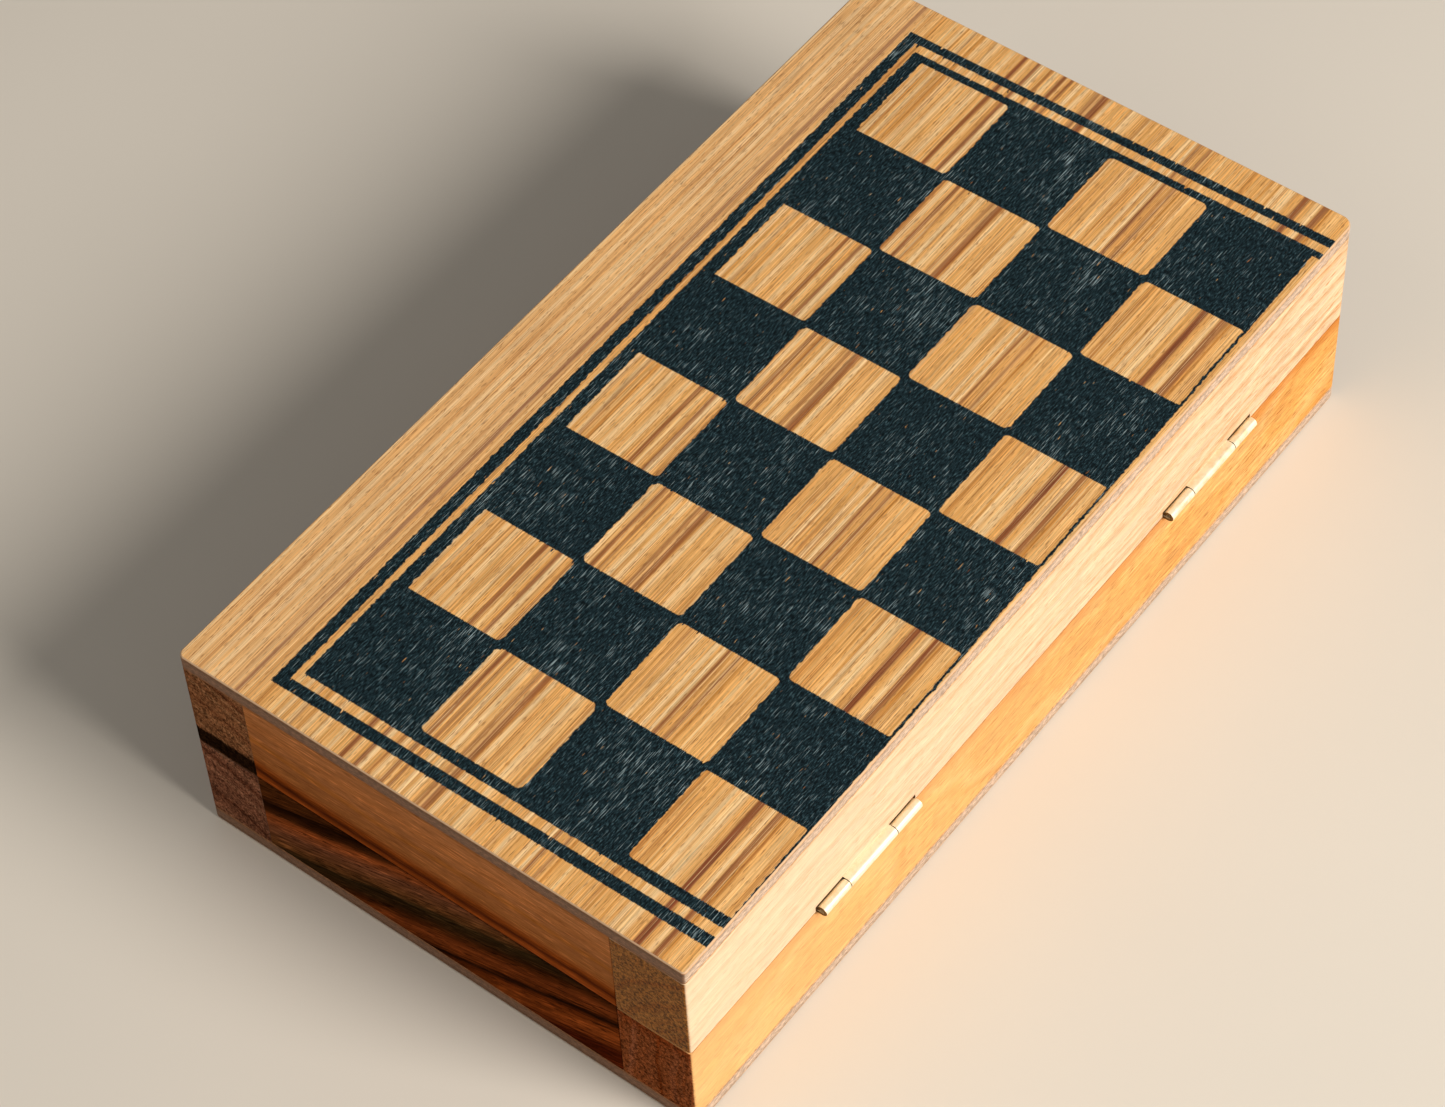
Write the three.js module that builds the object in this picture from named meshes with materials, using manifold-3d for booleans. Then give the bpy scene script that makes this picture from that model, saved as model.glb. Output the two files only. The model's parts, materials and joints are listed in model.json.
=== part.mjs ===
// A small folding games box for chess and draughts, shut, standing on its base.
// Two shallow wooden trays meet at a seam and turn on two brass butt hinges. Each tray is
// four boards glued up as a frame with a thin plywood panel planted on it, and the two
// panels together are the playing board. Millimetres, +Z up; the origin is the middle of
// the base's outer face, X runs along the hinges, and the hinges are on the -Y side.

import * as THREE from 'three';
import { mergeVertices } from 'three/addons/utils/BufferGeometryUtils.js';
import Module from 'manifold-3d';

const wasm = await Module();
wasm.setup();

// ---- driving dimensions -------------------------------------------------------------

// the trays
const trayLength = 182;
const trayWidth = 99.5;
const panelThickness = 3;
const baseFrameHeight = 18.1;
const lidFrameHeight = 19.2;
const hingeRailThickness = 14.2;  // the two long rails run the full length
const frontRailThickness = 13;
const endThickness = 13;       // the two end boards, let in between the rails
const cornerRadius = 2.2;      // outer upright corners, sanded round after gluing
const arrisRadius = 0.5;       // outer edge of a panel, just broken
const seamGap = 0.3;

// the butt hinges
const hingeLength = 25;
const hingeSpacing = 95;       // middle to middle
const hingeShift = 0.8;        // the pair sits this far along from the middle
const pinRadius = 0.4;
const pinClearance = 0.05;
const leafThickness = 0.5;
const leafReach = 9.5;         // from the pin's axis to the leaf's far edge
const middleKnuckle = 12;
const knuckleGap = 0.15;
const barrelInset = 0.1;       // how far the barrel is let in past the trays' side faces
const barrelClearance = 0.15;  // barrel to the other leaf's plate
const rollEnd = 15;            // degrees past level at which the rolled edge stops
const pinInset = 0.5;          // each end of the pin, inside the barrel
const mortiseClearance = 0.5;

// the hinge nails
const nailSpacing = 15;
const nailRow = 5.6;           // from the pin's axis
const nailRadius = 0.6;
const nailHeadRadius = 1.1;
const nailLength = 8;
const nailClearance = 0.05;

// the hook and its two screws
const hookThickness = 1;
const hookReach = 15;          // pivot to the seat that drops over the catch
const hookWall = 1.5;          // metal left around the eye and the seat
const armWidth = 2.6;
const fingerLength = 5.5;
const pivotAboveSeam = 7.5;
const screwRadius = 1;
const screwClearance = 0.08;
const seatClearance = 0.25;
const screwHeadRadius = 2.1;
const screwHeadHeight = 1.2;
const screwDepth = 9;          // how far a screw goes into its rail
const hookStandoff = 0.4;      // hook to the rail, and hook to the screw's head

// ---- worked out from them -----------------------------------------------------------

const baseDepth = panelThickness + baseFrameHeight;
const lidDepth = panelThickness + lidFrameHeight;
const seamHeight = baseDepth + seamGap / 2;
const boxHeight = baseDepth + seamGap + lidDepth;
const axisHeight = boxHeight / 2;    // so that both panels lie level when the box is open
const boreRadius = pinRadius + pinClearance;
const barrelRadius = boreRadius + leafThickness;
const axisOffset = barrelRadius - barrelInset;   // pin's axis to the side faces
const plateStart = barrelRadius + barrelClearance;
const hingeStations = [hingeShift - hingeSpacing / 2, hingeShift + hingeSpacing / 2];
const nailStations = [-nailSpacing / 2, nailSpacing / 2];
const eyeRadius = screwRadius + screwClearance;
const seatRadius = screwRadius + seatClearance;
const catchBelowSeam = hookReach - pivotAboveSeam;
const roundSides = 24;

// ---- materials ----------------------------------------------------------------------

const metalOrWood = (color, roughness, metalness) =>
  new THREE.MeshStandardMaterial({ color, roughness, metalness });

const veneer = metalOrWood(0xd9a968, 0.55, 0);
const paleWood = metalOrWood(0xe2bd86, 0.6, 0);
const warmWood = metalOrWood(0xc98f52, 0.6, 0);
const darkWood = metalOrWood(0x6f4428, 0.6, 0);
const brass = metalOrWood(0xb5934f, 0.35, 0.9);
const steel = metalOrWood(0x8d8a84, 0.4, 0.9);

// ---- solids -------------------------------------------------------------------------

// A closed geometry as a solid that can be cut and joined.
function solid(geometry) {
  geometry.deleteAttribute('normal');
  geometry.deleteAttribute('uv');
  const merged = mergeVertices(geometry, 1e-4);
  return new wasm.Manifold(new wasm.Mesh({
    numProp: 3,
    vertProperties: new Float32Array(merged.attributes.position.array),
    triVerts: new Uint32Array(merged.index.array),
  }));
}

// The solid as a named, coloured mesh.
function piece(name, body, material) {
  const { vertProperties, triVerts } = body.getMesh();
  const indexed = new THREE.BufferGeometry();
  indexed.setAttribute('position', new THREE.BufferAttribute(new Float32Array(vertProperties), 3));
  indexed.setIndex(new THREE.BufferAttribute(new Uint32Array(triVerts), 1));
  const geometry = indexed.toNonIndexed();
  geometry.computeVertexNormals();
  const mesh = new THREE.Mesh(geometry, material);
  mesh.name = name;
  return mesh;
}

// A block between two corners.
function block(low, high) {
  const size = high.map((value, i) => value - low[i]);
  const middle = high.map((value, i) => (value + low[i]) / 2);
  return solid(new THREE.BoxGeometry(...size).translate(...middle));
}

// A flat outline in X and Y, raised from one height to another.
function slab(outline, bottom, top, curveSegments = 6) {
  const options = { depth: top - bottom, bevelEnabled: false, curveSegments };
  return solid(new THREE.ExtrudeGeometry(outline, options).translate(0, 0, bottom));
}

// A turned solid along +Z: its profile is [radius, height] from the bottom of the axis up.
function turned(profile, sides = roundSides) {
  const points = profile.map(([radius, height]) => new THREE.Vector2(radius, height));
  return solid(new THREE.LatheGeometry(points, sides).rotateX(Math.PI / 2));
}

// ---- trays --------------------------------------------------------------------------

// Plan of the tray, with its four corners rounded, drawn in by a margin.
function trayOutline(margin) {
  const x = trayLength / 2 - margin;
  const y = trayWidth / 2 - margin;
  const r = cornerRadius - margin;
  const outline = new THREE.Shape();
  outline.moveTo(-x + r, -y);
  outline.absarc(x - r, -y + r, r, -Math.PI / 2, 0);
  outline.absarc(x - r, y - r, r, 0, Math.PI / 2);
  outline.absarc(-x + r, y - r, r, Math.PI / 2, Math.PI);
  outline.absarc(-x + r, -y + r, r, Math.PI, 1.5 * Math.PI);
  outline.closePath();
  return outline;
}

// The plywood panel: its outer face is down at height 0, and only that edge is broken.
function panel() {
  const eased = new THREE.ExtrudeGeometry(trayOutline(arrisRadius), {
    depth: panelThickness,
    bevelThickness: arrisRadius,
    bevelSize: arrisRadius,
    bevelSegments: 3,
    curveSegments: 6,
  }).translate(0, 0, arrisRadius);
  return solid(eased).intersect(slab(trayOutline(0), 0, panelThickness));
}

// A long rail on the -Y side of a tray, its two outer corners rounded.
function rail(depth, thickness) {
  const frame = slab(trayOutline(0), panelThickness, depth);
  const side = trayWidth / 2;
  return frame.intersect(block(
    [-trayLength, -side - cornerRadius, 0],
    [trayLength, -side + thickness, depth],
  ));
}

// The rail that carries the hinges, with a mortise for each leaf and holes for its nails.
function hingeRail(depth, stations) {
  const face = -trayWidth / 2;
  const floor = axisHeight - barrelRadius;
  const halfMortise = hingeLength / 2 + mortiseClearance;
  const back = face - axisOffset + leafReach + mortiseClearance;
  const hole = turned([
    [0, floor - nailLength],
    [nailRadius + nailClearance, floor - nailLength],
    [nailRadius + nailClearance, depth],
    [0, depth],
  ]);
  let body = rail(depth, hingeRailThickness);
  for (const station of stations) {
    body = body.subtract(block(
      [station - halfMortise, face - cornerRadius, floor],
      [station + halfMortise, back, 2 * depth],
    ));
    for (const x of nailStations) {
      body = body.subtract(hole.translate([station + x, face - axisOffset + nailRow, 0]));
    }
  }
  return body;
}

// The front rail, with the hole for the screw of the hook or of the catch. It is made on
// the -Y side and turned about the upright middle line to the +Y side.
function frontRail(depth, screwHeight) {
  const hole = turned([
    [0, -screwDepth - screwClearance],
    [screwRadius + screwClearance, -screwDepth - screwClearance],
    [screwRadius + screwClearance, cornerRadius],
    [0, cornerRadius],
  ]);
  const across = hole.rotate([90, 0, 0]).translate([0, -trayWidth / 2, screwHeight]);
  return rail(depth, frontRailThickness).subtract(across).rotate([0, 0, 180]);
}

// An end board, which fills the space between the rails at the +X or -X end.
function endBoard(depth, direction) {
  const outer = direction * trayLength / 2;
  const inner = outer - direction * endThickness;
  return block(
    [Math.min(outer, inner), hingeRailThickness - trayWidth / 2, panelThickness],
    [Math.max(outer, inner), trayWidth / 2 - frontRailThickness, depth],
  );
}

// One tray, lying on its panel with its open side up.
function tray(name, depth, leftEnd, rightEnd, stations, screwHeight, looks) {
  const group = new THREE.Group();
  group.add(
    piece(`${name}_panel`, panel(), veneer),
    piece(`${name}_hinge_rail`, hingeRail(depth, stations), looks.hingeRail),
    piece(`${name}_front_rail`, frontRail(depth, screwHeight), looks.frontRail),
    piece(`${name}_${leftEnd}_end`, endBoard(depth, -1), looks.ends),
    piece(`${name}_${rightEnd}_end`, endBoard(depth, 1), looks.ends),
  );
  return group;
}

// ---- hinges -------------------------------------------------------------------------

// Section of a leaf and its knuckle, in Y and Z around the pin's axis: the flat leaf runs
// off the top of the barrel, and its edge is rolled round the pin until it nearly meets
// the leaf again.
function rolledSection() {
  const start = Math.PI / 2;
  const end = THREE.MathUtils.degToRad(360 + rollEnd);
  const section = new THREE.Shape();
  section.moveTo(leafReach, barrelRadius);
  section.absarc(0, 0, barrelRadius, start, end, false);
  section.absarc(0, 0, boreRadius, end, start, true);
  section.lineTo(leafReach, boreRadius);
  section.closePath();
  return section;
}

// The section pushed along X between two stations.
function knuckle(from, to) {
  const options = { depth: to - from, bevelEnabled: false, curveSegments: roundSides };
  const geometry = new THREE.ExtrudeGeometry(rolledSection(), options);
  geometry.rotateX(Math.PI / 2).rotateZ(Math.PI / 2).translate(from, 0, 0);
  return solid(geometry);
}

// A leaf with its knuckles: a plate the length of the hinge that stops short of the other
// leaf's knuckles, with countersunk nail holes.
function leaf(knuckles) {
  const plate = block(
    [-hingeLength / 2, plateStart, boreRadius],
    [hingeLength / 2, leafReach, barrelRadius],
  );
  const hole = turned([
    [0, 0],
    [nailHeadRadius + nailClearance, 0],
    [nailHeadRadius + nailClearance, boreRadius],
    [nailRadius + nailClearance, barrelRadius],
    [nailRadius + nailClearance, 2 * barrelRadius],
    [0, 2 * barrelRadius],
  ]);
  let body = plate;
  for (const [from, to] of knuckles) {
    body = body.add(knuckle(from, to));
  }
  for (const x of nailStations) {
    body = body.subtract(hole.translate([x, nailRow, 0]));
  }
  return body;
}

// A nail driven up through a leaf, its flat head flush in the countersink.
function nail() {
  const tip = barrelRadius + nailLength - nailClearance;
  return turned([
    [0, boreRadius],
    [nailHeadRadius, boreRadius],
    [nailRadius, barrelRadius],
    [nailRadius, tip - 2 * nailRadius],
    [0, tip],
  ]);
}

// The pin, its ends just broken, hidden a little way inside the barrel.
function pin() {
  const end = hingeLength / 2 - pinInset;
  const broken = pinRadius / 3;
  return turned([
    [0, -end],
    [pinRadius - broken, -end],
    [pinRadius, -end + broken],
    [pinRadius, end - broken],
    [pinRadius - broken, end],
    [0, end],
  ]).rotate([0, 90, 0]);
}

// A leaf with its nails, as a group around the pin's axis.
function leafSet(name, knuckles) {
  const group = new THREE.Group();
  group.add(piece(`${name}_leaf`, leaf(knuckles), brass));
  nailStations.forEach((x, i) => {
    const mesh = piece(`${name}_nail_${i + 1}`, nail(), brass);
    mesh.position.set(x, nailRow, 0);
    group.add(mesh);
  });
  return group;
}

// A whole hinge, shut: the lid's leaf has the long middle knuckle, and the base's leaf,
// turned over, has the two short ones.
function hinge(name) {
  const end = hingeLength / 2;
  const middle = middleKnuckle / 2;
  const lidLeaf = leafSet(`${name}_hinge_lid`, [[-middle, middle]]);
  const baseLeaf = leafSet(`${name}_hinge_base`, [
    [-end, -middle - knuckleGap],
    [middle + knuckleGap, end],
  ]);
  baseLeaf.rotation.y = Math.PI;
  const group = new THREE.Group();
  group.add(lidLeaf, baseLeaf, piece(`${name}_hinge_pin`, pin(), steel));
  return group;
}

// ---- hook ---------------------------------------------------------------------------

// The hook lies level along +X with its eye at the origin. Its seat is open towards -Y,
// along the path that the catch takes past it, so a quarter turn drops it over the catch.
function hookOutline() {
  const half = armWidth / 2;
  const eyeOuter = eyeRadius + hookWall;
  const seatOuter = seatRadius + hookWall;
  const neck = Math.asin(half / eyeOuter);
  const shoulder = Math.asin(half / seatOuter);
  const inner = hookReach - seatRadius;
  const outer = hookReach + seatRadius;
  const lip = -seatOuter / outer;
  const lipEnd = [(outer + hookWall) * Math.cos(lip), outer * Math.sin(lip)];
  const tip = hookReach + seatOuter + fingerLength;
  const outline = new THREE.Shape();
  outline.absarc(0, 0, eyeOuter, neck, 2 * Math.PI - neck, false);
  outline.absarc(0, 0, inner, -Math.asin(half / inner), 0, false);
  outline.absarc(hookReach, 0, seatRadius, Math.PI, 0, true);
  outline.absarc(0, 0, outer, 0, lip, true);
  outline.quadraticCurveTo(outer + half, lipEnd[1] - half, lipEnd[0], lipEnd[1]);
  outline.quadraticCurveTo(lipEnd[0] + half, 0, tip - half, half);
  outline.absarc(tip - half, armWidth, half, -Math.PI / 2, Math.PI / 2, false);
  outline.quadraticCurveTo(hookReach + seatOuter, armWidth + half, hookReach + half, seatOuter);
  outline.absarc(hookReach, 0, seatOuter, Math.PI / 2, Math.PI - shoulder, false);
  outline.closePath();
  const eye = new THREE.Path();
  eye.absarc(0, 0, eyeRadius, 0, 2 * Math.PI);
  outline.holes.push(eye);
  return outline;
}

// A round-headed screw pointing along -Z, its head clear of the face by the hook.
function screw() {
  const under = 2 * hookStandoff + hookThickness;
  const dome = [];
  const steps = 5;
  for (let i = 0; i <= steps; i += 1) {
    const turn = (i / steps) * Math.PI / 2;
    dome.push([
      screwHeadRadius * Math.cos(turn),
      under + screwHeadHeight * (0.25 + 0.75 * Math.sin(turn)),
    ]);
  }
  dome[steps][0] = 0;
  return turned([
    [0, -screwDepth],
    [screwRadius, -screwDepth + 2 * screwRadius],
    [screwRadius, under],
    [screwHeadRadius, under],
    ...dome,
  ]);
}

// ---- assembly -----------------------------------------------------------------------

const box = new THREE.Group();

const catchHeight = seamHeight - catchBelowSeam;
const base = tray('base', baseDepth, 'left', 'right', hingeStations, catchHeight, {
  hingeRail: warmWood,
  frontRail: darkWood,
  ends: darkWood,
});

// The lid is such a tray turned over end for end.
const lidStations = hingeStations.map((x) => -x);
const hookHeight = boxHeight - seamHeight - pivotAboveSeam;
const lid = tray('lid', lidDepth, 'right', 'left', lidStations, hookHeight, {
  hingeRail: paleWood,
  frontRail: paleWood,
  ends: warmWood,
});
lid.rotation.y = Math.PI;
lid.position.z = boxHeight;
box.add(base, lid);

['left', 'right'].forEach((name, i) => {
  const pair = hinge(name);
  pair.position.set(hingeStations[i], -trayWidth / 2 - axisOffset, axisHeight);
  box.add(pair);
});

// The hook and the screws are drawn lying down; here they stand on the front face, with
// their +Z outwards and their +Y up.
const front = new THREE.Group();
front.rotation.set(-Math.PI / 2, 0, Math.PI);
front.position.set(0, trayWidth / 2, seamHeight);
const hookBlank = slab(hookOutline(), hookStandoff, hookStandoff + hookThickness, 12);
const hook = piece('hook', hookBlank, brass);
const hookScrew = piece('hook_screw', screw(), brass);
const catchScrew = piece('catch_screw', screw(), brass);
hook.position.y = pivotAboveSeam;
hookScrew.position.y = pivotAboveSeam;
catchScrew.position.y = -catchBelowSeam;
front.add(hook, hookScrew, catchScrew);
box.add(front);

export default box;
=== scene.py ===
import json
import math

import bmesh
import bpy
from mathutils import Matrix, Vector


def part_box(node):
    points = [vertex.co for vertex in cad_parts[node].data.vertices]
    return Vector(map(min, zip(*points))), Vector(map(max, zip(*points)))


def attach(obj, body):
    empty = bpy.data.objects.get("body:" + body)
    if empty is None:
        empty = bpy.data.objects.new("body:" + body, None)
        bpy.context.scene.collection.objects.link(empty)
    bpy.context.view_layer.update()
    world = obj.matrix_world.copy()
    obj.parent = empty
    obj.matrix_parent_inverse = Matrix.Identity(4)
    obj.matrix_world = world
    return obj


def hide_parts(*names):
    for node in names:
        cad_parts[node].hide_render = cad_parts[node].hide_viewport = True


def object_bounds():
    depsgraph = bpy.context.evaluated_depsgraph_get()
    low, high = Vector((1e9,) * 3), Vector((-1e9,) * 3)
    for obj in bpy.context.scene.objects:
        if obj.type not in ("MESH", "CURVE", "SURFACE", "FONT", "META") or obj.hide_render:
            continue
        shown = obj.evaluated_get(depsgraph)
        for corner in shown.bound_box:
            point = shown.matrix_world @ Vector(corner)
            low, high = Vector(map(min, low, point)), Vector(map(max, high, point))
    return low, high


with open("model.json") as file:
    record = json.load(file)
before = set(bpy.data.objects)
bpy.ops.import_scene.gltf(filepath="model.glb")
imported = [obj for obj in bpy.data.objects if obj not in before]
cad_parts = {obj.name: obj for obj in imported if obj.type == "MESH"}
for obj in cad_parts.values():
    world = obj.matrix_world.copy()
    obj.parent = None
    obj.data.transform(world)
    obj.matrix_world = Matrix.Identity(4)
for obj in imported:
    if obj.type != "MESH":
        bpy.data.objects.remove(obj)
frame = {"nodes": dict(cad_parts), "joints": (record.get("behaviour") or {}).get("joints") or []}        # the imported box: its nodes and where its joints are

cadBox = [list(corner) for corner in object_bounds()]      # the bounds of the box as imported
scene = bpy.context.scene
scene.view_settings.view_transform = "Standard"        # wood and ink come out as they are mixed
mm = 0.001
print("frame loaded:", len(frame["nodes"]), "nodes")

cameraPlace = {
    "aim": (-12.83, 4.09, 21.8),       # mm
    "distance": 687.2,
    "azimuth": -49.71,                 # degrees, 0 looks along +Y
    "elevation": 51.82,
    "roll": -3.63,
    "lens": 104.85,                    # mm
}
cameraData = bpy.data.cameras.new("camera")
cameraData.lens = cameraPlace["lens"]
cameraData.clip_start = 0.01
camera = bpy.data.objects.new("camera", cameraData)
scene.collection.objects.link(camera)
camera.matrix_world = (
    Matrix.Translation(Vector(cameraPlace["aim"]) * mm)
    @ Matrix.Rotation(math.radians(cameraPlace["azimuth"]), 4, "Z")
    @ Matrix.Rotation(math.radians(90 - cameraPlace["elevation"]), 4, "X")
    @ Matrix.Rotation(math.radians(cameraPlace["roll"]), 4, "Z")
    @ Matrix.Translation((0, 0, cameraPlace["distance"] * mm))
)
scene.camera = camera


def hexColour(text):
    # an sRGB hex colour as the linear one that a socket takes
    parts = [int(text[i:i + 2], 16) / 255 for i in (0, 2, 4)]
    return [p / 12.92 if p <= 0.04045 else ((p + 0.055) / 1.055) ** 2.4 for p in parts] + [1]


def addNode(tree, kind, inputs=None, out=0, **settings):
    # adds a node with its settings, values and links, and gives back one of its outputs
    node = tree.nodes.new("ShaderNode" + kind)
    for name, value in settings.items():
        setattr(node, name, value)
    for name, value in (inputs or {}).items():
        if isinstance(value, bpy.types.NodeSocket):
            tree.links.new(value, node.inputs[name])
        else:
            node.inputs[name].default_value = value
    return node.outputs[out]


def newMaterial(name, roughness, metallic=0.0):
    material = bpy.data.materials.new(name)
    material.use_nodes = True
    shader = material.node_tree.nodes["Principled BSDF"]
    shader.inputs["Roughness"].default_value = roughness
    shader.inputs["Metallic"].default_value = metallic
    return material, material.node_tree, shader


softLights = {            # places and sizes in mm, power in watts
    "key": {"from": (64, -1150, 760), "size": 700, "power": 24.0, "colour": "FFF4E6"},
    "fill": {"from": (-900, 500, 900), "size": 900, "power": 1.6, "colour": "FFF2E0"},
}
for name, light in softLights.items():
    lamp = bpy.data.lights.new(name, "AREA")
    lamp.shape = "DISK"
    lamp.size = light["size"] * mm
    lamp.energy = light["power"]
    lamp.color = hexColour(light["colour"])[:3]
    holder = bpy.data.objects.new(name, lamp)
    holder.location = Vector(light["from"]) * mm
    holder.rotation_euler = (-Vector(light["from"])).to_track_quat("-Z", "Y").to_euler()
    scene.collection.objects.link(holder)

world = bpy.data.worlds.new("paleRoom")
world.use_nodes = True
world.node_tree.nodes["Background"].inputs["Color"].default_value = hexColour("F6F0E6")
world.node_tree.nodes["Background"].inputs["Strength"].default_value = 0.2
scene.world = world

floorTop = -0.2           # mm, just clear of the box
floorSide = 6             # metres
bpy.ops.object.select_all(action="DESELECT")
bpy.ops.mesh.primitive_plane_add(size=floorSide, location=(0, 0, floorTop * mm))
floor = bpy.context.object
floor.name = "floor"
floorPaint, floorTree, floorShader = newMaterial("mattFloorPaint", 0.85)   # pale and dull
floorMottle = addNode(floorTree, "TexNoise", {
    "Vector": addNode(floorTree, "TexCoord", out="Object"), "Scale": 9.0, "Detail": 3.0})
floorColour = addNode(floorTree, "Mix", {
    0: floorMottle, 6: hexColour("DEDBD5"), 7: hexColour("E4E1DB")}, 2, data_type="RGBA")
floorTree.links.new(floorColour, floorShader.inputs["Base Color"])
floor.data.materials.append(floorPaint)
print("camera, lights and floor placed")


def deselectAll():
    if bpy.context.mode != "OBJECT":
        bpy.ops.object.mode_set(mode="OBJECT")
    bpy.ops.object.select_all(action="DESELECT")


def pick(piece):
    deselectAll()
    bpy.context.view_layer.objects.active = piece
    piece.select_set(True)


def keepPlace(piece):
    # the piece's place and size go into its mesh
    pick(piece)
    bpy.ops.object.transform_apply(location=True, rotation=True, scale=True)
    return piece


def addBlock(name, low, high):
    low, high = Vector(low), Vector(high)
    deselectAll()
    bpy.ops.mesh.primitive_cube_add(size=1, location=(low + high) / 2, scale=high - low)
    piece = bpy.context.object
    piece.name = name
    return keepPlace(piece)


def addRod(name, start, axis, radius, length, sides=32):
    # a cylinder that begins at a point and runs along an axis
    axis = Vector(axis)
    deselectAll()
    bpy.ops.mesh.primitive_cylinder_add(
        vertices=sides, radius=radius, depth=length, location=Vector(start) + axis * length / 2,
        rotation=axis.to_track_quat("Z", "Y").to_euler())
    piece = bpy.context.object
    piece.name = name
    return keepPlace(piece)


def editPick(piece, kind, wanted):
    # opens the piece in edit mode with the faces or edges that pass the test selected
    pick(piece)
    bpy.ops.object.mode_set(mode="EDIT")
    bpy.ops.mesh.select_mode(type=kind)
    bpy.ops.mesh.select_all(action="DESELECT")
    mesh = bmesh.from_edit_mesh(piece.data)
    for part in (mesh.faces if kind == "FACE" else mesh.edges):
        if wanted(part):
            part.select_set(True)
    bmesh.update_edit_mesh(piece.data)


def edgeMiddle(edge):
    return (edge.verts[0].co + edge.verts[1].co) / 2


def edgeRuns(edge, axis):
    # whether an edge lies along an axis
    along = (edge.verts[1].co - edge.verts[0].co).normalized()
    return abs(along[axis]) > 0.999


def roundEdges(piece, width, steps, wanted):
    editPick(piece, "EDGE", wanted)
    bpy.ops.mesh.bevel(offset=width, segments=steps, affect="EDGES", clamp_overlap=True)
    bpy.ops.object.mode_set(mode="OBJECT")


def applyModifier(piece, name, kind, **settings):
    pick(piece)
    modifier = piece.modifiers.new(name, kind)
    for key, value in settings.items():
        setattr(modifier, key, value)
    bpy.ops.object.modifier_apply(modifier=modifier.name)


def cutWith(piece, cutter):
    applyModifier(piece, "cut", "BOOLEAN", object=cutter, operation="DIFFERENCE", solver="EXACT")
    bpy.data.objects.remove(cutter)


hardFrom = 40             # degrees, an edge sharper than this stays hard


def finishPiece(piece, node, body, materials):
    # smooth where it is round, hard where it is cut, and fastened to its body
    for material in materials:
        piece.data.materials.append(material)
    pick(piece)
    bpy.ops.object.shade_smooth_by_angle(angle=math.radians(hardFrom))
    applyModifier(piece, "flats", "WEIGHTED_NORMAL", keep_sharp=True, weight=100)
    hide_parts(node)
    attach(piece, body)


def fillRamp(ramp, stops):
    # puts grey or hex colours on a colour ramp, as (place, value) pairs from 0 to 1
    while len(ramp.elements) > 1:
        ramp.elements.remove(ramp.elements[-1])
    for i, (place, value) in enumerate(stops):
        element = ramp.elements[0] if i == 0 else ramp.elements.new(place)
        element.position = place
        element.color = hexColour(value) if isinstance(value, str) else (value, value, value, 1)


perMillimetre = (1000, 1000, 1000)                # turns metres into millimetres
noiseRange = {"From Min": 0.3, "From Max": 0.7}    # nearly all of a noise texture lies in this
noiseTop = {"From Min": 0.6, "From Max": 0.7}      # and only its rare peaks in this

woodPatterns = {    # features to a millimetre along and across the grain, shift, detail, roughness
    "wander": (0.03, 0.05, (0, 0, 0), 3, 0.5),         # slow bends of the rings
    "fibres": (0.12, 2.3, (0, 0, 0), 4, 0.75),         # 0.4 mm across and 8 mm long
    "patches": (0.03, 0.13, (0, 0, 0), 3, 0.5),        # paler or darker, 8 mm across, 3 cm long
    "pores": (0.4, 4.5, (0, 0, 0), 1, 0.5),            # 0.2 mm across and 2.5 mm long
    "flecks": (0.28, 3.2, (1.96, 128, 128), 2, 0.5),   # short and bright, on cut fibres
    "dots": (0.3, 1.6, (0, 0, 0), 5, 0.85),            # end grain, 0.6 mm across
}
endGrainWork = {"facingFrom": 0.55, "facingTo": 0.85, "darkDot": 0.35, "paleDot": 1.7}
bandEdgeWave = 0.8 * mm      # how far the fibres push the edge of a band, both of dark wood and of painted shade
paintedLightStart = 80 * mm       # painted light begins here and is full at the left end


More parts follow.
